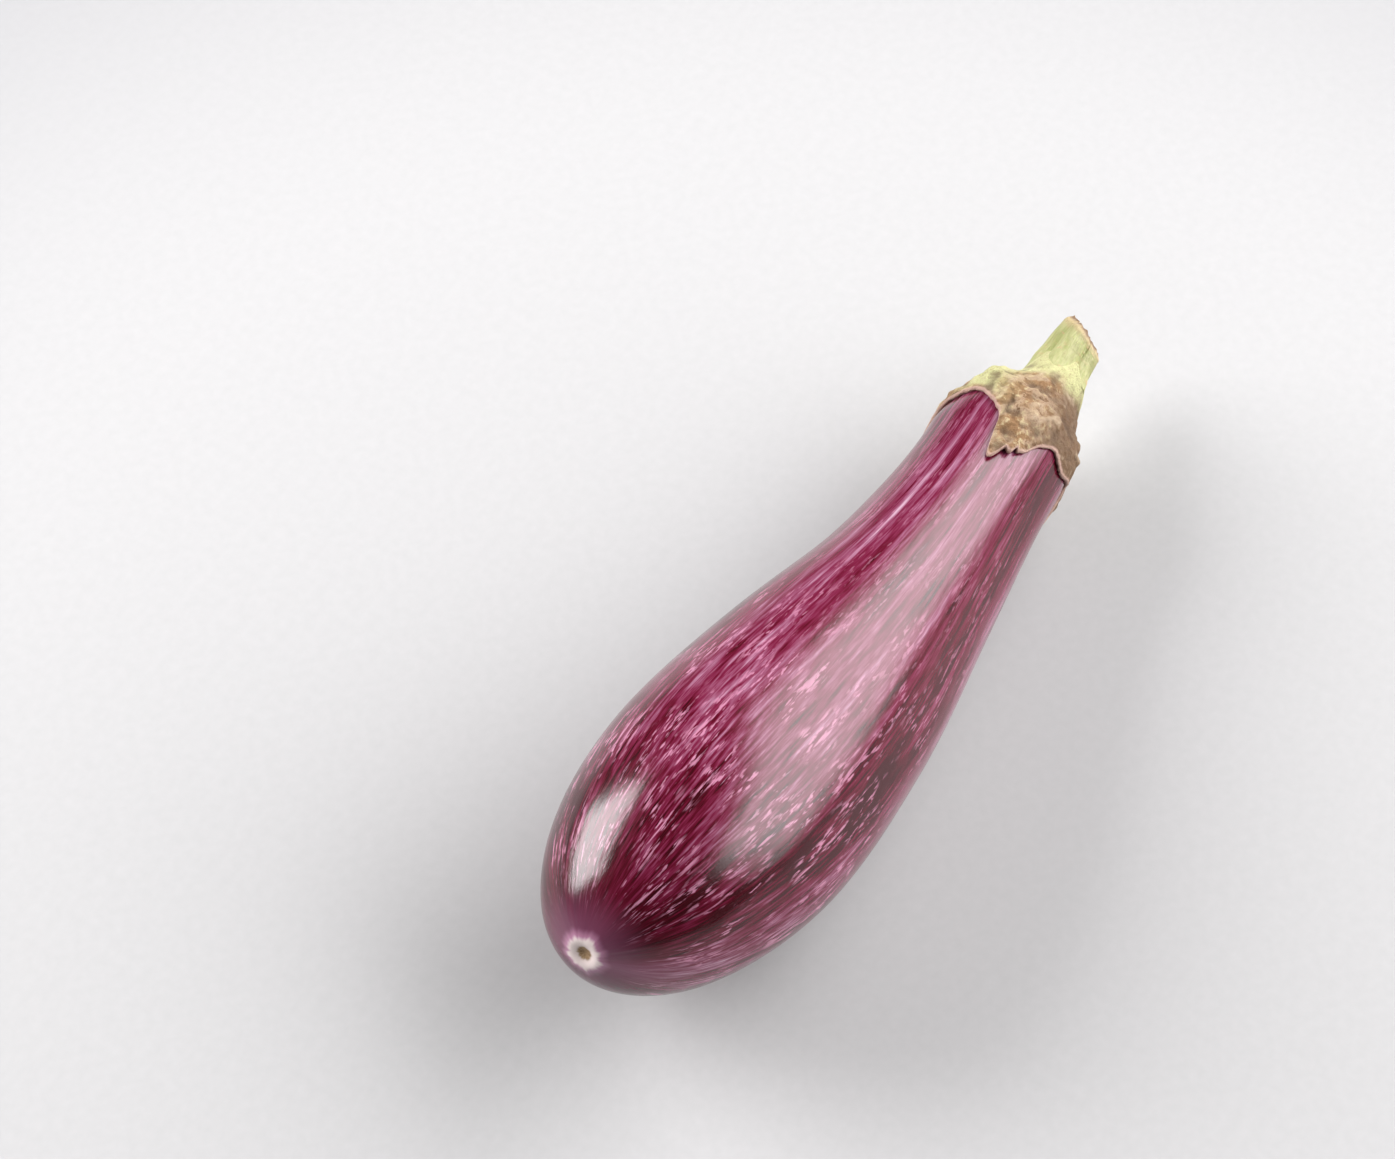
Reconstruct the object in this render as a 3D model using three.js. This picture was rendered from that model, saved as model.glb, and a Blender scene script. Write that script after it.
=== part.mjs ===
// A striped eggplant as picked, lying on its side: the fruit, the lobed calyx on its neck and the cut stem.
// Millimetres, +Z up. The tip points to -X and the stem to +X. The origin is the middle of the small flat
// spot on which the fruit rests, so everything lies at or above z = 0.
import * as THREE from 'three';
import { LoftGeometry } from 'three/addons/geometries/LoftGeometry.js';

// Driving dimensions
const BELLY_RADIUS = 29;        // the widest section
const BELLY_AT = 53;            // its distance from the tip
const NECK_RADIUS = 16.8;       // the slimmest section, just below the calyx
const NECK_AT = 163;
const FRUIT_LENGTH = 186;
const TAPER = 0.37;             // how far the belly and the neck run on before they turn into each other
const SCAR_RADIUS = 2.2;        // the small flat scar that the flower left at the tip

const LOBES = 5;
const LOBE_PHASE = 18;          // degrees from the top of the fruit towards -Y
const LOBE_REACH = 40;          // from the end of the fruit to a lobe's point, along the skin
const NOTCH_REACH = 28;         // and to the notch between two lobes
const CALYX_THICKNESS = 1.3;
const MARGIN_THICKNESS = 0.8;
const COLLAR_RADIUS = 7.3;      // the flat seat of the stem on top of the calyx
const COLLAR_HEIGHT = 4;        // above the end of the fruit
const COLLAR_ASIDE = 4;         // the stem grows out of the cap a little off its middle,
const COLLAR_ASIDE_ANGLE = 75;  // in this direction, in degrees from the top towards -Y

const STEM_LENGTH = 16;
const STEM_RADIUS = 5.9;        // at the cut
const STEM_FLARE = 1.2;         // what the foot adds to that
const STEM_RISE = 18;           // degrees that the cut end points above the level
const STEM_TURN = 19;           // and that it has turned from the neck's heading towards -Y
const STEM_RIBS = 5;
const RIB_HEIGHT = 0.45;
const CUT_SLANT = 22;           // degrees off square: the cut leaves the -Y side of the stem shorter
const CUT_CHAMFER = 0.7;

const GAP = 0.3;                // clearance between two pieces
const AROUND = 60;              // points in a section

const UP = new THREE.Vector3(0, 0, 1);

// The middle line of the fruit from tip to neck: it sinks a little towards the neck, which is what sets the
// fruit down on the underside of its belly, and it bows sideways towards -Y.
const spine = new THREE.CubicBezierCurve3(
  new THREE.Vector3(-80, 4.5, 37.2),
  new THREE.Vector3(-18, 0.5, 27.4),
  new THREE.Vector3(44, -4.5, 21.4),
  new THREE.Vector3(106, 4.6, 19.4),
);

// Half of the fruit's section, as radius and distance from the tip: half an ellipse round the blossom end,
// a long taper, and half an ellipse over the shoulder.
function fruitOutline() {
  const run = TAPER * (NECK_AT - BELLY_AT);
  const outline = new THREE.CurvePath();
  outline.add(new THREE.EllipseCurve(0, BELLY_AT, BELLY_RADIUS, BELLY_AT, -Math.PI / 2, 0));
  outline.add(new THREE.CubicBezierCurve(
    new THREE.Vector2(BELLY_RADIUS, BELLY_AT),
    new THREE.Vector2(BELLY_RADIUS, BELLY_AT + run),
    new THREE.Vector2(NECK_RADIUS, NECK_AT - run),
    new THREE.Vector2(NECK_RADIUS, NECK_AT),
  ));
  outline.add(new THREE.EllipseCurve(0, NECK_AT, NECK_RADIUS, FRUIT_LENGTH - NECK_AT, 0, Math.PI / 2));
  return outline;
}

const outline = fruitOutline();
const outlineLength = outline.getLength();

// A cross-section's own axes: along the curve, up and sideways.
function sectionAxes(curve, share) {
  const along = curve.getTangent(share);
  const side = new THREE.Vector3().crossVectors(along, UP).normalize();
  const up = new THREE.Vector3().crossVectors(side, along);
  return { along, side, up };
}

// A point at a radius and an angle round a curve; the angle runs from the top towards -Y.
function aroundCurve(curve, share, radius, angle, ahead = 0) {
  const { along, side, up } = sectionAxes(curve, share);
  return curve.getPoint(share)
    .addScaledVector(up, radius * Math.cos(angle))
    .addScaledVector(side, radius * Math.sin(angle))
    .addScaledVector(along, ahead);
}

// The fruit's skin at a distance along its outline, lifted off by some millimetres.
function onSkin(distance, angle, lift) {
  const share = THREE.MathUtils.clamp(distance / outlineLength, 0, 1);
  const [radius, along] = outline.getPoint(share).toArray();
  const [radiusSlope, alongSlope] = outline.getTangent(share).toArray();
  return aroundCurve(spine, along / FRUIT_LENGTH, radius + lift * alongSlope, angle, -lift * radiusSlope);
}

function ring(pointAt) {
  return Array.from({ length: AROUND }, (_, i) => pointAt((i / AROUND) * 2 * Math.PI));
}

function loft(sections, capStart = true) {
  return new LoftGeometry(sections, { capStart, capEnd: true });
}

// The fruit, flattened where its skin bears on the ground.
function fruitGeometry() {
  const rings = 46;
  const first = SCAR_RADIUS;
  const last = outlineLength - SCAR_RADIUS;
  const sections = [];
  for (let i = 0; i <= rings; i++) {
    const distance = THREE.MathUtils.lerp(first, last, i / rings);
    sections.push(ring((angle) => onSkin(distance, angle, 0)));
  }
  for (const point of sections.flat()) {
    point.z = Math.max(point.z, 0);
  }
  return loft(sections);
}

// How far the calyx reaches down the skin from the end of the fruit: five blunt lobes.
function calyxReach(angle) {
  const fromLobe = LOBES * (angle - THREE.MathUtils.degToRad(LOBE_PHASE));
  const rise = (1 + Math.cos(fromLobe)) / 2;
  return THREE.MathUtils.lerp(NOTCH_REACH, LOBE_REACH, rise);
}

// The calyx clasps the neck like a cap. Its sections start at one point on the inside, run down the inside to
// the margin, and back up the outside to the collar, where the stem sits.
function calyxGeometry() {
  const stations = 11;
  const domeFrom = 0.62;        // share of the way up at which the outside turns into the collar
  const crown = aroundCurve(spine, 1, 0, 0, GAP);
  const insideAt = (share, angle) => (
    onSkin(outlineLength - calyxReach(angle) * (1 - share), angle, GAP)
  );
  const collarAt = (angle) => (
    aroundCurve(spine, 1, COLLAR_RADIUS, angle, COLLAR_HEIGHT).add(collarShift())
  );
  const outsideAt = (share, angle) => {
    const thickness = THREE.MathUtils.lerp(
      MARGIN_THICKNESS,
      CALYX_THICKNESS,
      THREE.MathUtils.smoothstep(share, 0, 0.25),
    );
    const reach = THREE.MathUtils.lerp(calyxReach(angle), COLLAR_RADIUS, share);
    const point = onSkin(outlineLength - reach, angle, GAP + thickness);
    return point.lerp(collarAt(angle), THREE.MathUtils.smoothstep(share, domeFrom, 1));
  };
  const sections = [ring(() => crown)];
  for (let i = stations - 1; i >= 0; i--) {
    sections.push(ring((angle) => insideAt(i / stations, angle)));
  }
  for (let i = 0; i <= stations; i++) {
    sections.push(ring((angle) => outsideAt(i / stations, angle)));
  }
  return loft(sections, false);
}

// From the end of the fruit's middle line to the stem's.
function collarShift() {
  const angle = THREE.MathUtils.degToRad(COLLAR_ASIDE_ANGLE);
  return aroundCurve(spine, 1, COLLAR_ASIDE, angle).sub(spine.getPoint(1));
}

// The stem's middle line leaves the collar squarely, and bends upwards and aside.
function stemCurve() {
  const { along } = sectionAxes(spine, 1);
  const rise = THREE.MathUtils.degToRad(STEM_RISE);
  const foot = aroundCurve(spine, 1, 0, 0, COLLAR_HEIGHT + GAP).add(collarShift());
  const knee = foot.clone().addScaledVector(along, STEM_LENGTH / 2);
  const level = new THREE.Vector3(along.x, along.y, 0).normalize()
    .applyAxisAngle(UP, -THREE.MathUtils.degToRad(STEM_TURN));
  const cut = knee.clone()
    .addScaledVector(level, (STEM_LENGTH / 2) * Math.cos(rise))
    .addScaledVector(UP, (STEM_LENGTH / 2) * Math.sin(rise));
  return new THREE.QuadraticBezierCurve3(foot, knee, cut);
}

// A stub with five soft ribs, widest at its foot, cut off at a slant, with the edge of the cut worn round.
function stemGeometry() {
  const rings = 12;
  const curve = stemCurve();
  const slant = Math.tan(THREE.MathUtils.degToRad(CUT_SLANT));
  const sectionAt = (share, inset) => ring((angle) => {
    const flare = STEM_FLARE * (1 - share) ** 1.5;
    const radius = STEM_RADIUS + flare + RIB_HEIGHT * Math.cos(STEM_RIBS * angle) - inset;
    const shorter = slant * radius * Math.sin(angle) * share ** 2;
    return aroundCurve(curve, share, radius, angle, inset - shorter);
  });
  const sections = [];
  for (let i = 0; i <= rings; i++) {
    sections.push(sectionAt(i / rings, 0));
  }
  sections.push(sectionAt(1, CUT_CHAMFER));
  return loft(sections);
}

function skinMaterial() {
  return new THREE.MeshStandardMaterial({ color: 0x6b1840, roughness: 0.25, metalness: 0 });
}

function calyxMaterial() {
  return new THREE.MeshStandardMaterial({ color: 0xa89468, roughness: 0.8, metalness: 0 });
}

function stemMaterial() {
  return new THREE.MeshStandardMaterial({ color: 0xc3cf8d, roughness: 0.7, metalness: 0 });
}

function named(name, geometry, material) {
  const mesh = new THREE.Mesh(geometry, material);
  mesh.name = name;
  return mesh;
}

const eggplant = new THREE.Group();
eggplant.add(named('fruit', fruitGeometry(), skinMaterial()));
eggplant.add(named('calyx', calyxGeometry(), calyxMaterial()));
eggplant.add(named('stem', stemGeometry(), stemMaterial()));

export default eggplant;
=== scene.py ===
"""A striped eggplant on a pale floor: a glossy streaked fruit, a leathery torn calyx and a ribbed cut stem.

Metres, +Z up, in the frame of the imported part: the tip points to -X, the stem to +X, and the origin is the
small flat spot under the belly. Angles round the fruit run from its top towards -Y.
"""

import math

import bpy
import numpy as np
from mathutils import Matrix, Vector, noise


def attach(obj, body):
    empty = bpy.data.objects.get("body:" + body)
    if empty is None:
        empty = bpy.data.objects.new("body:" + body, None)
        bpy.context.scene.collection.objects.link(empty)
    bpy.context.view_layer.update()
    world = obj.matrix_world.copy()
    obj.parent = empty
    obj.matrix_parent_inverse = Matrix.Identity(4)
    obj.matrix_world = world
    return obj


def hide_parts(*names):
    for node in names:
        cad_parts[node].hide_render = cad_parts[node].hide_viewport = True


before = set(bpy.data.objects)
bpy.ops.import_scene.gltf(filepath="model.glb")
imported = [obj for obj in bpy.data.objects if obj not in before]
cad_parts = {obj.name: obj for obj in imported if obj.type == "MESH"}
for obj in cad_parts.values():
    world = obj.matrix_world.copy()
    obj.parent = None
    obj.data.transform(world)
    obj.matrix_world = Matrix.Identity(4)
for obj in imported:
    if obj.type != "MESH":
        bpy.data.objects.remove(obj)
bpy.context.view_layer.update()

MM = 0.001
BODY = "root"
FULL_TURN = 2 * math.pi
UP = np.array((0.0, 0.0, 1.0))

# The camera looks down on the fruit from beyond its tip, over the -X side.
CAMERA_AZIMUTH, CAMERA_ELEVATION = -57.7, 54.0
CAMERA_DISTANCE = 0.75
CAMERA_LENS = 89.7
CAMERA_AIM = Vector((0.016, 0.0373, 0.0292))

LAMP_AIM = Vector((0, 0, 0.03))
LAMP_TINT = (1.0, 0.985, 0.995)
SKY_TINT, SKY_STRENGTH = (0.95, 0.96, 1.0, 1.0), 0.06

# The floor's colour is painted a little darker far from the fruit, where the skin mirrors it at a flat
# angle: painted shade that dims that reflection.
FLOOR_HALF = 2.5
FLOOR_NEAR, FLOOR_FAR = 0.18, 0.45
FLOOR_DULL, FLOOR_PALE, FLOOR_PAINTED_SHADE = (0.41, 0.41, 0.41), (0.455, 0.455, 0.455), (0.27, 0.27, 0.28)

# The fruit: the same spine and outline as the solid
SPINE = np.array([(-80, 4.5, 37.2), (-18, 0.5, 27.4), (44, -4.5, 21.4), (106, 4.6, 19.4)]) * MM
BELLY_RADIUS, BELLY_AT = 29 * MM, 53 * MM
NECK_RADIUS, NECK_AT = 16.8 * MM, 163 * MM
FRUIT_LENGTH = 186 * MM
TAPER = 0.37
FRUIT_AROUND, FRUIT_ROWS = 224, 300
FIRST_RING, LAST_RING = 0.25 * MM, 0.5 * MM     # from the tip and from the other end, along the outline

# The scar sits a little above the fruit's very end, in a dimple with a soft lip.
SCAR_SHIFT, SCAR_SHIFT_ANGLE = 2.6 * MM, math.radians(20)
SCAR_SHIFT_FROM, SCAR_SHIFT_TO = 2 * MM, 34 * MM
DIMPLE_DEPTH, DIMPLE_WIDTH = 0.9 * MM, 2.2 * MM
TIP_DEPTH = 0.95 * MM
LIP_HEIGHT, LIP_AT, LIP_WIDTH = 0.35 * MM, 3.2 * MM, 1.5 * MM

# The calyx: where its margin turns, as degrees round the fruit and millimetres down from the fruit's end
MARGIN = (
    (-126, 31), (-106, 36), (-86, 27), (-68, 24.6), (-53, 24.3), (-42, 23.4), (-31, 23), (-19, 25), (-7, 28),
    (1, 31.5), (4, 37.5), (8, 42.8), (15, 41.5), (24, 38.4), (31, 36), (37, 33), (45, 30.4), (53, 29.4),
    (62, 30.4), (74, 30.5), (90, 28), (108, 26), (130, 36), (146, 38), (172, 27), (192, 34), (202, 37),
    (218, 29),
)
CALYX_AROUND, CALYX_OUTER_ROWS, CALYX_INNER_ROWS = 400, 90, 14
CALYX_OFF_SKIN, CALYX_BASE_LIFT = 0.05 * MM, 0.15 * MM
MARGIN_THICKNESS, CALYX_THICKNESS = 0.75 * MM, 1.35 * MM
BITE_DEPTH = 2.0 * MM
DOME_REACH = 6.5 * MM           # where the dome ends, down the skin from the fruit's end
FLARE_WIDE, FLARE_NARROW = 8.5 * MM, 6.0 * MM
FLARE_FROM, FLARE_TO = -0.25, 0.35      # shares of the stem's middle line
VEINS = (-66, 14, 86, 161, -128)
TORN_LOBE, TORN_LOBE_WIDTH = 18, 9

# The stem's middle line, from the calyx to the cut, as in the solid
COLLAR_HEIGHT, COLLAR_GAP = 4 * MM, 0.3 * MM
COLLAR_ASIDE, COLLAR_ASIDE_ANGLE = 4 * MM, math.radians(75)
STEM_LENGTH, STEM_RADIUS, STEM_FLARE = 16 * MM, 5.9 * MM, 1.2 * MM
STEM_RISE, STEM_TURN = math.radians(18), math.radians(19)
CUT_SLANT = math.radians(22)
STEM_AROUND, STEM_ROWS, CUT_ROWS = 160, 70, 14
STEM_SUNK = 0.04                # how far the foot goes into the calyx, as a share of the middle line
RIBS_ROUND = 2.5                # half the number of ribs
RIB_HEIGHT, RIB_MIDDLE = 0.7 * MM, 0.2
EDGE_WORN = 1.3 * MM
CUT_DENT = 0.5 * MM


# ---------------------------------------------------------------- shapes shared with the solid

def smooth(value, low, high):
    """0 below low, 1 above high, and a smooth step between them."""
    share = np.clip((value - low) / (high - low), 0, 1)
    return share * share * (3 - 2 * share)


def bell(value, middle, width):
    """1 at the middle, fading out on both sides."""
    return np.exp(-((value - middle) / width) ** 2)


def blend(low, high, share):
    return low + (high - low) * share


def bezier(points, share):
    share = np.asarray(share, float)[..., None]
    rest = 1 - share
    if len(points) == 3:
        return rest ** 2 * points[0] + 2 * rest * share * points[1] + share ** 2 * points[2]
    return (rest ** 3 * points[0] + 3 * rest ** 2 * share * points[1]
            + 3 * rest * share ** 2 * points[2] + share ** 3 * points[3])


def unit(vectors):
    return vectors / np.linalg.norm(vectors, axis=-1, keepdims=True)


def outline_table():
    """Radius and distance from the tip along the fruit's outline, with the arc length to each point."""
    steps = 1500
    turn = np.linspace(0, math.pi / 2, steps)
    run = TAPER * (NECK_AT - BELLY_AT)
    belly = np.stack([BELLY_RADIUS * np.sin(turn), BELLY_AT * (1 - np.cos(turn))], 1)
    corners = np.array([(BELLY_RADIUS, BELLY_AT), (BELLY_RADIUS, BELLY_AT + run),
                        (NECK_RADIUS, NECK_AT - run), (NECK_RADIUS, NECK_AT)])
    taper = bezier(corners, np.linspace(0, 1, steps))
    shoulder = np.stack([NECK_RADIUS * np.cos(turn), NECK_AT + (FRUIT_LENGTH - NECK_AT) * np.sin(turn)], 1)
    table = np.concatenate([belly, taper[1:], shoulder[1:]])
    lengths = np.linalg.norm(np.diff(table, axis=0), axis=1)
    return table, np.concatenate([[0], np.cumsum(lengths)])


OUTLINE, OUTLINE_AT = outline_table()
SKIN_LENGTH = OUTLINE_AT[-1]


def section_axes(points, share):
    """A cross-section's own axes: along the curve, sideways and up."""
    step = 1e-4
    along = unit(bezier(points, share + step) - bezier(points, share - step))
    side = unit(np.cross(along, UP))
    return along, side, np.cross(side, along)


def around(points, share, radius, angle, ahead=0.0):
    """A point at a radius and an angle round a curve, and some way ahead along it."""
    share, radius, angle, ahead = np.broadcast_arrays(share, radius, angle, ahead)
    along, side, up = section_axes(points, share)
    return (bezier(points, share) + up * (radius * np.cos(angle))[..., None]
            + side * (radius * np.sin(angle))[..., None] + along * ahead[..., None])


def perlin(points, scale, seed):
    """Smooth noise between about -1 and 1, with features of the given size."""
    shift = Vector((seed * 7.13, seed * 3.71, seed * 5.19))
    flat = np.asarray(points, float).reshape(-1, 3) / scale
    values = [noise.noise(Vector(p) + shift) for p in flat]
    return np.array(values).reshape(np.shape(points)[:-1])


def polar(angle, distance, radius=1.0):
    """Coordinates on a cylinder of one radius, so that noise on them meets itself all the way round."""
    angle, distance = np.broadcast_arrays(angle, distance)
    return np.stack([radius * np.cos(angle), radius * np.sin(angle), distance], -1)


def angles(count):
    return np.linspace(0, FULL_TURN, count, endpoint=False)[None, :]


def degrees_from(angle, middle=0.0):
    """The turn from a direction, given in degrees, to an angle in radians, as -180 to 180 degrees."""
    return (np.degrees(angle) - middle + 180) % 360 - 180


def stripe(angle, middle, width):
    """1 along a line down the piece, at some degrees from its top, fading out over a width in degrees."""
    return bell(degrees_from(angle, middle), 0, width)


def swelling(angle, distance):
    """How far the skin stands off the plain outline: long shallow swellings, none at the resting spot."""
    mean_radius = 24 * MM
    broad = perlin(polar(angle, distance, mean_radius), 34 * MM, seed=1)
    narrow = perlin(polar(angle, distance / 3, mean_radius), 9 * MM, seed=2)
    ends = smooth(distance, 0, 25 * MM) * smooth(SKIN_LENGTH - distance, 0, 12 * MM)
    underside = smooth(-np.cos(angle), 0.55, 0.95)
    return (0.45 * MM * broad + 0.12 * MM * narrow) * ends * (1 - underside)


def on_skin(distance, angle, lift=0.0):
    """The skin at a distance along the outline from the tip, lifted off it squarely."""
    distance, angle, lift = np.broadcast_arrays(distance, angle, lift)
    step = 0.5 * MM
    radius, along = (np.interp(distance, OUTLINE_AT, OUTLINE[:, axis]) for axis in (0, 1))
    radius_slope, along_slope = (np.interp(distance + step, OUTLINE_AT, OUTLINE[:, axis])
                                 - np.interp(distance - step, OUTLINE_AT, OUTLINE[:, axis])
                                 for axis in (0, 1))
    slope = np.hypot(radius_slope, along_slope)
    lift = lift + swelling(angle, distance)
    return around(SPINE, along / FRUIT_LENGTH, radius + lift * along_slope / slope, angle,
                  -lift * radius_slope / slope)


def stem_line():
    along = section_axes(SPINE, 1.0)[0]
    aside = around(SPINE, 1.0, COLLAR_ASIDE, COLLAR_ASIDE_ANGLE) - SPINE[3]
    foot = SPINE[3] + aside + along * (COLLAR_HEIGHT + COLLAR_GAP)
    knee = foot + along * STEM_LENGTH / 2
    heading = math.atan2(along[1], along[0]) - STEM_TURN
    level = np.array((math.cos(heading), math.sin(heading), 0.0))
    cut = knee + STEM_LENGTH / 2 * (level * math.cos(STEM_RISE) + UP * math.sin(STEM_RISE))
    return np.array([foot, knee, cut])


STEM_LINE = stem_line()


# ---------------------------------------------------------------- meshes and materials

def tube(name, rows, start, end, values):
    """A closed mesh of rings, each joined to the next, with a fan to one point at the start and the end.

    values holds one number or one vector for each point of the rings, which the material reads by name. In
    the map called OFBake, u is the share of the way round and v the share of the way from start to end.
    """
    count, size = rows.shape[:2]
    points = [rows.reshape(-1, 3)]
    faces, corners = [], []
    column = np.arange(size)
    following = (column + 1) % size
    for row in range(count - 1):
        low, high = row / (count - 1), (row + 1) / (count - 1)
        for c, n in zip(column, following):
            faces.append((row * size + c, row * size + n, (row + 1) * size + n, (row + 1) * size + c))
            corners += [(c / size, low), ((c + 1) / size, low), ((c + 1) / size, high), (c / size, high)]
    layers = {key: [np.asarray(value).reshape(count * size, -1)] for key, value in values.items()}
    for point, row in ((start, 0), (end, count - 1)):
        apex = sum(len(part) for part in points)
        points.append(np.asarray(point, float).reshape(1, 3))
        height = row / (count - 1)
        for c, n in zip(column, following):
            ring = (row * size + c, row * size + n)
            faces.append((apex, ring[1], ring[0]) if row == 0 else (apex, ring[0], ring[1]))
            ends = [((c + 1) / size, height), (c / size, height)]
            corners += [((c + 0.5) / size, height)] + (ends if row == 0 else ends[::-1])
        for parts in layers.values():
            parts.append(parts[0][row * size:(row + 1) * size].mean(0, keepdims=True))
    mesh = bpy.data.meshes.new(name)
    mesh.from_pydata(np.concatenate(points).tolist(), [], faces)
    mesh.polygons.foreach_set("use_smooth", [True] * len(faces))
    uv = mesh.uv_layers.new(name="OFBake")
    uv.data.foreach_set("uv", np.array(corners, float).ravel())
    for key, parts in layers.items():
        data = np.concatenate(parts)
        kind, field = ("FLOAT", "value") if data.shape[1] == 1 else ("FLOAT_VECTOR", "vector")
        mesh.attributes.new(key, kind, "POINT").data.foreach_set(field, data.astype(float).ravel())
    mesh.update()
    return add_object(name, mesh)


def add_object(name, data):
    made = bpy.data.objects.new(name, data)
    bpy.context.scene.collection.objects.link(made)
    return made


class Paint:
    """A procedural material, or a lamp's emission, with one short call for each kind of node."""

    def __init__(self, name, lamp=None):
        self.material = lamp or bpy.data.materials.new(name)
        self.material.use_nodes = True
        self.tree = self.material.node_tree
        self.shader = self.tree.nodes.get("Principled BSDF")

    def node(self, kind, inputs=None, **settings):
        made = self.tree.nodes.new(kind)
        for key, value in settings.items():
            setattr(made, key, value)
        for key, value in (inputs or {}).items():
            if isinstance(value, bpy.types.NodeSocket):
                self.tree.links.new(value, made.inputs[key])
            else:
                made.inputs[key].default_value = value
        return made

    def attribute(self, name, output="Fac"):
        return self.node("ShaderNodeAttribute", attribute_name=name).outputs[output]

    def noise(self, vector, stretch=(1, 1, 1), shift=0.0, scale=1.0, detail=2.0, roughness=0.5,
              distortion=0.0):
        """Noise on coordinates that are first stretched and then moved, so that no two are alike."""
        placed = {"Vector": vector, "Scale": stretch, "Location": (shift, shift, shift)}
        vector = self.node("ShaderNodeMapping", placed).outputs["Vector"]
        inputs = {"Vector": vector, "Scale": scale, "Detail": detail, "Roughness": roughness,
                  "Distortion": distortion}
        return self.node("ShaderNodeTexNoise", inputs).outputs["Fac"]

    def math(self, operation, first, second, third=0.0):
        return self.node("ShaderNodeMath", {0: first, 1: second, 2: third}, operation=operation).outputs[0]

    def times(self, value, factor, plus=0.0):
        return self.math("MULTIPLY_ADD", value, factor, plus)

    def step(self, value, low, high, to_low=0.0, to_high=1.0):
        """A smooth step from to_low at low to to_high at high; low may be the larger of the two."""
        made = self.node("ShaderNodeMapRange", {"Value": value, "From Min": low, "From Max": high,
                                                "To Min": to_low, "To Max": to_high},
                         interpolation_type="SMOOTHSTEP")
        return made.outputs["Result"]

    def between(self, share, first, second):
        return self.node("ShaderNodeMix", {0: share, 2: first, 3: second}).outputs[0]

    def mix(self, share, first, second):
        """A blend of two colours, each a socket or three numbers."""
        first, second = (color if isinstance(color, bpy.types.NodeSocket) else (*color, 1.0)
                         for color in (first, second))
        return self.node("ShaderNodeMix", {0: share, 6: first, 7: second}, data_type="RGBA").outputs[2]

    def ramp(self, value, tones):
        """Colours at rising values, with straight blends between them."""
        made = self.node("ShaderNodeValToRGB", {"Fac": value})
        stops = made.color_ramp.elements
        stops[0].position, stops[1].position = tones[0][0], tones[-1][0]
        for position, _ in tones[1:-1]:
            stops.new(position)
        for stop, (_, color) in zip(stops, tones):
            stop.color = (*color, 1.0)
        return made.outputs["Color"]

    def bump(self, height, distance, strength, normal=None):
        inputs = {"Height": height, "Distance": distance, "Strength": strength}
        if normal is not None:
            inputs["Normal"] = normal
        return self.node("ShaderNodeBump", inputs).outputs["Normal"]

    def finish(self, color, roughness, normal, ior=1.5):
        for key, value in (("Base Color", color), ("Roughness", roughness), ("Normal", normal)):
            self.tree.links.new(value, self.shader.inputs[key])
        self.shader.inputs["IOR"].default_value = ior
        return self.material


# ---------------------------------------------------------------- camera, light and floor

def add_camera():
    azimuth, elevation = math.radians(CAMERA_AZIMUTH), math.radians(CAMERA_ELEVATION)
    back = Vector((math.sin(azimuth) * math.cos(elevation), -math.cos(azimuth) * math.cos(elevation),
                   math.sin(elevation)))
    data = bpy.data.cameras.new("camera")
    data.lens = CAMERA_LENS
    data.sensor_width = 36
    data.clip_start = 0.01
    camera = add_object("camera", data)
    camera.location = CAMERA_AIM + CAMERA_DISTANCE * back
    camera.rotation_euler = back.to_track_quat("Z", "Y").to_euler()
    bpy.context.scene.camera = camera


def softbox(name, azimuth, elevation, distance, width, height, radiance, fade):
    """A rectangular lamp that faces the fruit's middle and fades out towards its edges.

    Azimuth runs from +X towards +Y. fade is the share of the width and height that each edge takes.
    """
    azimuth, elevation = math.radians(azimuth), math.radians(elevation)
    toward = Vector((math.cos(azimuth) * math.cos(elevation), math.sin(azimuth) * math.cos(elevation),
                     math.sin(elevation)))
    data = bpy.data.lights.new(name, "AREA")
    data.shape = "RECTANGLE"
    data.size, data.size_y = width, height
    data.energy = radiance * math.pi * width * height
    data.color = LAMP_TINT
    paint = Paint(name, data)
    across = paint.node("ShaderNodeNewGeometry").outputs["Parametric"]
    split = paint.node("ShaderNodeSeparateXYZ", {"Vector": across})
    edges = [paint.step(paint.math("PINGPONG", split.outputs[axis], 0.5), 0.0, share)
             for axis, share in zip("XY", fade)]
    emission = paint.tree.nodes["Emission"]
    paint.tree.links.new(paint.times(*edges), emission.inputs["Strength"])
    lamp = add_object(name, data)
    lamp.location = LAMP_AIM + distance * toward
    lamp.rotation_euler = toward.to_track_quat("Z", "Y").to_euler()


def add_lights():
    softbox("long_panel", azimuth=-40, elevation=34, distance=1.5, width=4.0, height=2.0, radiance=6.7,
            fade=(0.30, 0.33))
    softbox("side_panel", azimuth=104, elevation=29, distance=1.3, width=1.05, height=1.0, radiance=12.5,
            fade=(0.16, 0.16))
    world = bpy.data.worlds.new("studio")
    world.use_nodes = True
    sky = world.node_tree.nodes["Background"]
    sky.inputs["Color"].default_value = SKY_TINT
    sky.inputs["Strength"].default_value = SKY_STRENGTH
    bpy.context.scene.world = world
    bpy.context.scene.view_settings.view_transform = "Standard"


def floor_paint():
    paint = Paint("floor_white")
    place = paint.node("ShaderNodeTexCoord").outputs["Object"]
    far = paint.node("ShaderNodeVectorMath", {0: place}, operation="LENGTH").outputs["Value"]
    grain = paint.noise(place, scale=400.0)
    color = paint.mix(grain, FLOOR_DULL, FLOOR_PALE)
    # Painted shade: the floor's colour darkens with distance from the fruit.
    color = paint.mix(paint.step(far, FLOOR_NEAR, FLOOR_FAR), color, FLOOR_PAINTED_SHADE)
    roughness = paint.step(grain, 0.0, 1.0, 0.85, 0.95)
    return paint.finish(color, roughness, paint.bump(grain, 0.02 * MM, 0.2))


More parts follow.
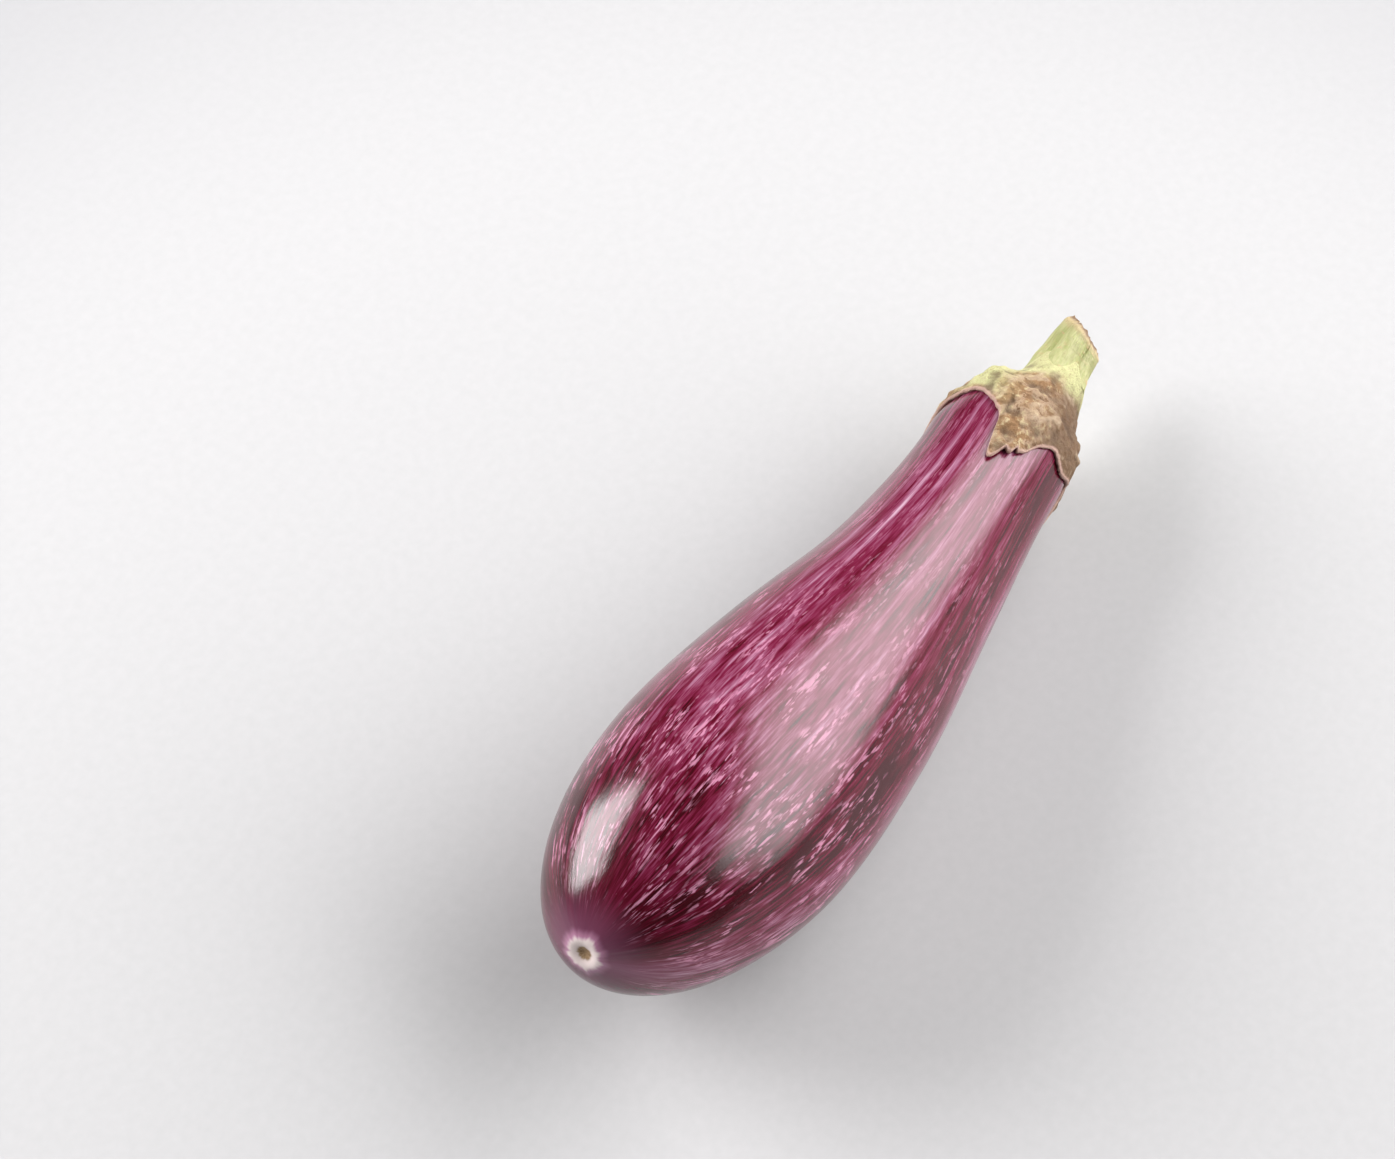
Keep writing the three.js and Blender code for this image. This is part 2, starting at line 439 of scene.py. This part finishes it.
def add_floor():
    mesh = bpy.data.meshes.new("floor")
    signs = ((-1, -1), (1, -1), (1, 1), (-1, 1))
    mesh.from_pydata([(x * FLOOR_HALF, y * FLOOR_HALF, 0) for x, y in signs], [], [(0, 1, 2, 3)])
    floor = add_object("floor", mesh)
    mesh.materials.append(floor_paint())


# ---------------------------------------------------------------- the fruit

def skin_paint():
    """Maroon skin under lengthwise pink streaks: flecks on the belly, strands and stripes on the neck."""
    tones = ((0.14, (0.036, 0.001, 0.004)), (0.30, (0.082, 0.002, 0.012)), (0.48, (0.140, 0.011, 0.038)),
             (0.66, (0.210, 0.054, 0.104)), (0.82, (0.305, 0.136, 0.205)), (1.00, (0.450, 0.285, 0.360)))
    fleck_pink = (0.52, 0.22, 0.33)
    halo_mauve, star_pink, star_white = (0.24, 0.085, 0.155), (0.46, 0.22, 0.34), (0.80, 0.68, 0.65)
    cork_dark, cork_tan = (0.16, 0.085, 0.03), (0.42, 0.28, 0.15)

    paint = Paint("eggplant_skin")
    grain = paint.attribute("grain", "Vector")
    # This attribute holds the skin's pink bands with painted light in them: a painted tint under the long
    # highlight, painted shade beside it and along one edge, and a painted floor reflection.
    pink_and_painted_light = paint.attribute("pink_and_painted_light")
    neck = paint.attribute("neckward")
    scar = paint.attribute("scar")      # millimetres from the scar

    def streaks(across, along, shift, detail):
        return paint.noise(grain, (across, across, along), shift, detail=detail, distortion=0.12)

    strands = paint.between(neck, streaks(28, 0.9, 21.0, 3.0), streaks(21, 0.35, 23.0, 3.0))
    threads = streaks(52, 1.6, 27.0, 2.0)
    broad = paint.between(neck, streaks(7, 0.35, 31.0, 3.0), streaks(8, 0.12, 33.0, 3.0))
    tone = 0.0
    for layer, on_belly, on_neck in ((strands, 1.4, 1.1), (threads, 0.9, 0.5), (broad, 0.9, 1.1)):
        weight = paint.between(neck, on_belly, on_neck)
        tone = paint.times(paint.math("SUBTRACT", layer, 0.5), weight, tone)
    calm_at_scar = paint.step(scar, 5.0, 32.0, 0.12, 1.0)
    color = paint.ramp(paint.times(tone, calm_at_scar, paint.times(pink_and_painted_light, 0.60, 0.22)), tones)

    flecks = paint.step(paint.times(pink_and_painted_light, 0.03, streaks(38, 3.0, 3.0, 2.0)), 0.57, 0.68)
    dashes = paint.step(paint.times(pink_and_painted_light, 0.03, streaks(28, 1.3, 11.0, 3.0)), 0.58, 0.69)
    clusters = paint.step(paint.noise(grain, (5, 5, 0.7), 41.0, detail=3.0), 0.42, 0.60)
    marks = paint.times(paint.math("MAXIMUM", flecks, dashes), clusters)
    marks = paint.times(marks, paint.between(neck, 1.0, 0.35))
    marks = paint.times(marks, paint.step(scar, 7.0, 20.0))
    color = paint.mix(paint.times(marks, 0.85), color, fleck_pink)

    # The scar: a corky centre in a ragged whitish star that runs out into the streaks
    ragged = paint.noise(grain, (2.2, 2.2, 0.0), 61.0)
    inside_star = paint.math("SUBTRACT", paint.times(ragged, 4.0, 1.7), scar)
    color = paint.mix(paint.step(scar, 17.0, 3.0, 0.0, 0.6), color, halo_mauve)
    color = paint.mix(paint.step(inside_star, -2.6, 0.3), color, star_pink)
    color = paint.mix(paint.step(inside_star, -0.7, 0.5), color, star_white)
    cork = paint.step(paint.times(ragged, 1.2, scar), 1.9, 2.6, 1.0, 0.0)
    grit = paint.noise(grain, (6, 6, 8), 71.0, scale=1.5, detail=4.0)
    color = paint.mix(cork, color, paint.mix(paint.step(grit, 0.35, 0.65), cork_dark, cork_tan))

    pores = paint.noise(grain, (60, 60, 20), 81.0, detail=3.0)
    roughness = paint.times(pores, 0.10, 0.13)
    roughness = paint.times(marks, 0.03, roughness)
    roughness = paint.times(cork, 0.5, roughness)
    ripple = paint.noise(grain, (10, 10, 1.2), 91.0)
    normal = paint.bump(ripple, 0.25 * MM, 0.3)
    normal = paint.bump(paint.times(cork, grit, pores), 0.03 * MM, 0.5, normal)
    return paint.finish(color, roughness, normal)


def fruit_rows(distance, angle):
    """The skin's rings, drawn up towards the scar near the tip and set down flat on the floor."""
    pull = SCAR_SHIFT * (1 - smooth(distance, SCAR_SHIFT_FROM, SCAR_SHIFT_TO))
    across = distance * np.cos(angle) + pull * math.cos(SCAR_SHIFT_ANGLE)
    aside = distance * np.sin(angle) + pull * math.sin(SCAR_SHIFT_ANGLE)
    lip = LIP_HEIGHT * bell(distance, LIP_AT, LIP_WIDTH)
    dimple = DIMPLE_DEPTH * bell(distance, 0, DIMPLE_WIDTH)
    rows = on_skin(np.hypot(across, aside), np.arctan2(aside, across), lip - dimple)
    rows[..., 2] = np.maximum(rows[..., 2], 0)
    return rows


def pink_bands_and_painted_light(distance, angle, neckward):
    """How pink the skin is, with painted light in it: pinker on the upper left; pinker under the long
    highlight, a painted tint of that highlight; darker right of it, partly the skin's own colour and partly
    painted shade; pinker at 88 degrees, partly the skin's own colour and partly a painted floor reflection;
    darker at -70 degrees, painted shade.
    """
    up_the_fruit = smooth(distance, 22 * MM, 62 * MM)
    near_the_tip = 1 - up_the_fruit
    drift = perlin(polar(angle, distance / (60 * MM), 2.2), 1.0, seed=5)
    bands_with_painted_light = 0.03 + 0.12 * up_the_fruit + 0.20 * drift
    # Painted shade: the stripe at 64 degrees darkens the skin right of the long highlight, standing in for a
    # dark reflection; in part it is the skin's own dark band.
    bands_with_painted_light += up_the_fruit * (0.40 * stripe(angle, -16, 30) - 0.30 * stripe(angle, 64, 13))
    # Painted highlight tint: the skin is made pinker under the long highlight at 30 degrees, here and near
    # the tip, so that the highlight reads lilac.
    bands_with_painted_light += up_the_fruit * (1 - 0.5 * neckward) * 0.36 * stripe(angle, 30, 18)
    bands_with_painted_light += near_the_tip * smooth(distance, 26 * MM, 42 * MM) * 0.35 * stripe(angle, 30, 14)
    bands_with_painted_light += near_the_tip * (0.12 * stripe(angle, 8, 14) + 0.45 * stripe(angle, 108, 26))
    # Painted reflection and shade: pinker at 88 degrees, partly a painted floor reflection; darker at -70
    # degrees, painted shade along that edge.
    bands_with_painted_light += 0.36 * stripe(angle, 88, 12) - 0.15 * stripe(angle, -70, 24)
    return np.clip(bands_with_painted_light, 0, 1)


def add_fruit():
    closer_at_tip = 1.12
    shares = np.linspace(0, 1, FRUIT_ROWS) ** closer_at_tip
    distance = blend(FIRST_RING, SKIN_LENGTH - LAST_RING, shares)[:, None]
    angle = angles(FRUIT_AROUND)
    rows = fruit_rows(distance, angle)
    distance, angle = np.broadcast_arrays(distance, angle)
    neckward = smooth(distance, 45 * MM, 130 * MM)
    values = {
        "grain": polar(angle, distance / (10 * MM)),
        "pink_and_painted_light": pink_bands_and_painted_light(distance, angle, neckward),
        "neckward": neckward,
        "scar": distance / MM,
    }
    tip = on_skin(SCAR_SHIFT, SCAR_SHIFT_ANGLE, -TIP_DEPTH)
    neck_end = on_skin(SKIN_LENGTH, 0.0)
    fruit = tube("eggplant_fruit", rows, tip, neck_end, values)
    fruit.data.materials.append(skin_paint())
    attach(fruit, BODY)
    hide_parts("fruit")


# ---------------------------------------------------------------- the calyx

def margin_reach(angle):
    """The margin's distance from the fruit's end, on a smooth closed curve through its turning points."""
    degrees, reach = np.array(MARGIN, float).T
    turned = (np.degrees(angle) - degrees[0]) % 360 + degrees[0]
    place = np.searchsorted(degrees, turned, side="right") - 1
    width = np.diff(np.append(degrees, degrees[0] + 360))
    slope = (np.roll(reach, -1) - np.roll(reach, 1)) / (width + np.roll(width, 1))
    following = (place + 1) % len(degrees)
    share = (turned - degrees[place]) / width[place]
    straight = blend(reach[place], reach[following], smooth(share, 0, 1))
    bend = width[place] * share * (1 - share) * (slope[place] * (1 - share) - slope[following] * share)
    return (straight + bend) * MM


def torn_margin(angle):
    """The margin with small waves, and two bites torn out of the front lobe."""
    circle = polar(angle, 0.0)
    waves = 0.35 * MM * perlin(circle, 0.12, seed=3) + 0.3 * MM * perlin(circle, 0.05, seed=4)
    bites = stripe(angle, 16.5, 2.2) + 0.9 * stripe(angle, 23.5, 1.3)
    return margin_reach(angle) + waves - BITE_DEPTH * bites


def calyx_paint():
    brown, tan, straw = (0.27, 0.145, 0.058), (0.40, 0.275, 0.17), (0.52, 0.41, 0.23)
    blotch_brown, dry_brown, speck_brown = (0.18, 0.085, 0.03), (0.125, 0.066, 0.030), (0.12, 0.065, 0.03)
    crease_painted_shade, ridge_painted_highlight, rim_pink = (0.10, 0.055, 0.026), (0.60, 0.48, 0.33), (0.56, 0.36, 0.30)
    fresh_green = (0.57, 0.58, 0.28)

    paint = Paint("calyx_leather")
    peel = paint.attribute("peel", "Vector")
    relief = paint.attribute("relief")
    patches = paint.noise(peel, shift=3.0, scale=0.25, detail=4.0, roughness=0.6)
    blotch = paint.noise(peel, shift=13.0, scale=0.6, detail=5.0, roughness=0.65)
    grit = paint.noise(peel, shift=23.0, scale=2.6, detail=4.0, roughness=0.7)
    color = paint.mix(paint.step(patches, 0.42, 0.58), brown, tan)
    color = paint.mix(paint.step(blotch, 0.52, 0.66), color, straw)
    color = paint.mix(paint.step(blotch, 0.46, 0.36), color, blotch_brown)
    color = paint.mix(paint.times(paint.attribute("brown"), 0.85), color, dry_brown)
    color = paint.mix(paint.times(paint.attribute("green"), paint.step(grit, 0.2, 0.6)), color, fresh_green)
    color = paint.mix(paint.step(grit, 0.58, 0.74, 0.0, 0.6), color, speck_brown)
    # Painted shade darkens the creases and a painted highlight lightens the raised folds, both read from the
    # relief.
    color = paint.mix(paint.step(relief, 0.0, -0.45, 0.0, 0.8), color, crease_painted_shade)
    color = paint.mix(paint.step(relief, 0.12, 0.5, 0.0, 0.5), color, ridge_painted_highlight)
    color = paint.mix(paint.step(paint.attribute("rim"), 1.3, 0.3, 0.0, 0.75), color, rim_pink)
    roughness = paint.step(grit, 0.2, 0.8, 0.55, 0.85)
    normal = paint.bump(blotch, 1.4 * MM, 0.8)
    normal = paint.bump(grit, 0.4 * MM, 0.8, normal)
    return paint.finish(color, roughness, normal, ior=1.45)


def calyx_outside(reach, angle, up, lift):
    """The outside, from the margin at up = 0 over the dome to the flare round the stem at up = 1."""
    dome = on_skin(SKIN_LENGTH - blend(reach, DOME_REACH, up), angle, lift)
    flare_radius = blend(FLARE_WIDE, FLARE_NARROW, smooth(up, 0.72, 1.0))
    along_stem = blend(FLARE_FROM, FLARE_TO, smooth(up, 0.7, 1.0))
    flare = around(STEM_LINE, along_stem, flare_radius, angle)
    share = smooth(up, 0.58, 0.86)[..., None]
    return dome * (1 - share) + flare * share


def calyx_relief(points, up):
    """Folds, wrinkles and fine creases, which fade out towards the stem."""
    folds = perlin(points, 5.5 * MM, seed=6)
    wrinkles = 0.45 - 2.4 * np.abs(perlin(points, 4.2 * MM, seed=7))
    wrinkles += 0.35 * (0.4 - 2 * np.abs(perlin(points, 2.0 * MM, seed=17)))
    creases = perlin(points, 1.3 * MM, seed=8)
    return (0.55 * folds + 0.35 * wrinkles + 0.18 * creases) * (1 - smooth(up, 0.72, 0.88))


def calyx_lift(angle, up, relief):
    """How far the outside stands off the skin."""
    body = smooth(up, 0.0, 0.25)
    veins = sum(stripe(angle, vein, 3.5) for vein in VEINS)
    hump = stripe(angle, -28, 14) * bell(up, 0.45, 0.22)
    wavy_margin = (1 - body) * perlin(polar(angle, 0.0), 0.3, seed=9)
    curled_lobe = (1 - body) * stripe(angle, TORN_LOBE, TORN_LOBE_WIDTH)
    lift = CALYX_BASE_LIFT + blend(MARGIN_THICKNESS, CALYX_THICKNESS, body)
    lift = lift + (1.5 * relief + 0.40 * veins) * MM * body
    return lift + 1.6 * MM * hump + 0.25 * MM * wavy_margin + 0.7 * MM * curled_lobe


def add_calyx():
    angle = angles(CALYX_AROUND)
    reach = torn_margin(angle)
    up = np.linspace(0, 1, CALYX_OUTER_ROWS)[:, None] ** 0.9
    relief = calyx_relief(calyx_outside(reach, angle, up, 0.9 * MM), up)
    lift = calyx_lift(angle, up, relief)
    outer = calyx_outside(reach, angle, up, lift)
    edge = on_skin(SKIN_LENGTH - reach - 0.25 * MM, angle, 0.5 * (CALYX_OFF_SKIN + lift[:1]))
    under = np.linspace(0.97, 0, CALYX_INNER_ROWS)[:, None]
    under_lobe = stripe(angle, TORN_LOBE, TORN_LOBE_WIDTH) * np.clip(1 - under * 2, 0, 1)
    inner = on_skin(SKIN_LENGTH - reach * (1 - under), angle, CALYX_OFF_SKIN + 0.5 * MM * under_lobe)
    rows = np.concatenate([inner, edge, outer])
    rows[..., 2] = np.maximum(rows[..., 2], 0.2 * MM)

    hidden = np.zeros((len(inner) + len(edge), CALYX_AROUND))
    up_all = np.concatenate([hidden, up * np.ones_like(angle)])
    left_patch = stripe(angle, -31, 19) * smooth(up_all, 0.02, 0.15)
    flare_green = smooth(up_all + 0.05 * perlin(polar(angle, 0.0), 0.2, seed=18), 0.68, 0.80)
    degrees = degrees_from(angle)
    right_side = smooth(degrees, 20, 52) * (1 - smooth(degrees, 120, 170))
    values = {
        "peel": rows / MM,
        "rim": up_all * reach / MM,
        "relief": np.concatenate([hidden, relief]),
        "green": np.clip(flare_green + 1.2 * left_patch, 0, 1),
        "brown": right_side * np.ones_like(up_all),
    }
    crown = on_skin(SKIN_LENGTH, 0.0, CALYX_OFF_SKIN)
    inside_stem = around(STEM_LINE, FLARE_TO, 0.0, 0.0)
    calyx = tube("eggplant_calyx", rows, crown, inside_stem, values)
    calyx.data.materials.append(calyx_paint())
    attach(calyx, BODY)
    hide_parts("calyx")


# ---------------------------------------------------------------- the stem

def stem_paint():
    green, pale_green = (0.31, 0.305, 0.125), (0.43, 0.42, 0.21)
    thread_green, groove_green = (0.30, 0.34, 0.11), (0.30, 0.32, 0.11)
    blotch_tan, rim_tan, rim_brown = (0.46, 0.31, 0.16), (0.43, 0.30, 0.17), (0.16, 0.09, 0.05)
    pith_cream, pith_tan = (0.72, 0.68, 0.42), (0.52, 0.44, 0.24)
    cut_brown, cut_edge = (0.30, 0.20, 0.10), (0.20, 0.12, 0.06)

    paint = Paint("stem_green")
    fibre = paint.attribute("fibre", "Vector")
    face = paint.attribute("face")      # on the cut, the share of its radius; 0 on the sides
    fibres = paint.noise(fibre, (6, 6, 1.2), 3.0, detail=3.0)
    threads = paint.noise(fibre, (22, 22, 1.6), 13.0)
    blotch = paint.noise(fibre, (2.2, 2.2, 3.0), 23.0, detail=4.0)
    color = paint.mix(paint.step(fibres, 0.3, 0.7), green, pale_green)
    color = paint.mix(paint.step(threads, 0.45, 0.65, 0.0, 0.6), color, thread_green)
    color = paint.mix(paint.step(paint.attribute("groove"), 0.2, -0.9, 0.0, 0.7), color, groove_green)
    color = paint.mix(paint.step(blotch, 0.54, 0.68, 0.0, 0.7), color, blotch_tan)
    from_rim = paint.times(blotch, 3.0, paint.attribute("from_cut"))
    color = paint.mix(paint.step(from_rim, 5.4, 2.2, 0.0, 0.75), color, rim_tan)
    color = paint.mix(paint.step(from_rim, 2.7, 1.7, 0.0, 0.85), color, rim_brown)
    pith = paint.mix(paint.step(face, 0.35, 0.9), pith_cream, pith_tan)
    pith = paint.mix(paint.step(blotch, 0.45, 0.7, 0.0, 0.7), pith, cut_brown)
    pith = paint.mix(paint.step(face, 0.86, 0.97), pith, cut_edge)
    color = paint.mix(paint.step(face, 0.0, 0.001), color, pith)
    roughness = paint.step(fibres, 0.2, 0.8, 0.45, 0.7)
    normal = paint.bump(fibres, 0.9 * MM, 0.7)
    normal = paint.bump(paint.math("ADD", threads, blotch), 0.4 * MM, 0.7, normal)
    return paint.finish(color, roughness, normal, ior=1.45)


def add_stem():
    angle = angles(STEM_AROUND)
    circle = polar(angle, 0.0)
    share = np.linspace(-STEM_SUNK, 1, STEM_ROWS)[:, None]
    ribs = 2 * np.abs(np.cos(RIBS_ROUND * angle + 0.3 * perlin(circle, 0.8, seed=12))) - 1
    ribs = ribs + 0.5 * perlin(polar(angle, share * 0.8), 0.35, seed=13)
    flare = STEM_FLARE * (1 - np.clip(share, 0, 1)) ** 1.5
    worn = EDGE_WORN * smooth(share, 0.84, 1.0) ** 2
    lumps = 0.25 * MM * perlin(polar(angle, share * 2), 0.5, seed=14)
    side_radius = STEM_RADIUS + flare + RIB_HEIGHT * (ribs - RIB_MIDDLE) - worn + lumps
    ragged = 0.5 * MM * perlin(circle, 0.25, seed=15)

    def section(at, radius):
        ahead = -math.tan(CUT_SLANT) * radius * np.sin(angle) * at ** 2 + ragged * at ** 6
        return around(STEM_LINE, at, radius, angle, ahead)

    side = section(share, side_radius)
    inward = np.linspace(0.94, 0.06, CUT_ROWS)[:, None]
    cut = section(1.0, side_radius[-1:] * inward)
    dent = 0.18 * MM * perlin(cut, 1.2 * MM, seed=16) - CUT_DENT * (1 - inward ** 4)
    cut = cut + dent[..., None] * section_axes(STEM_LINE, 1.0)[0]
    rows = np.concatenate([side, cut])

    whole = np.ones_like(angle)
    along = np.concatenate([share, np.ones_like(inward)]) * STEM_LENGTH * whole
    values = {
        "fibre": polar(angle, along / (5 * MM)),
        "groove": np.concatenate([ribs, 0.4 * np.ones_like(inward) * whole]),
        "from_cut": (STEM_LENGTH - along) / MM,
        "face": np.concatenate([np.zeros_like(share), inward]) * whole,
    }
    foot = around(STEM_LINE, -STEM_SUNK, 0.0, 0.0)
    stem = tube("eggplant_stem", rows, foot, cut[-1].mean(0), values)
    stem.data.materials.append(stem_paint())
    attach(stem, BODY)
    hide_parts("stem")


add_camera()
add_lights()
add_floor()
add_fruit()
add_calyx()
add_stem()
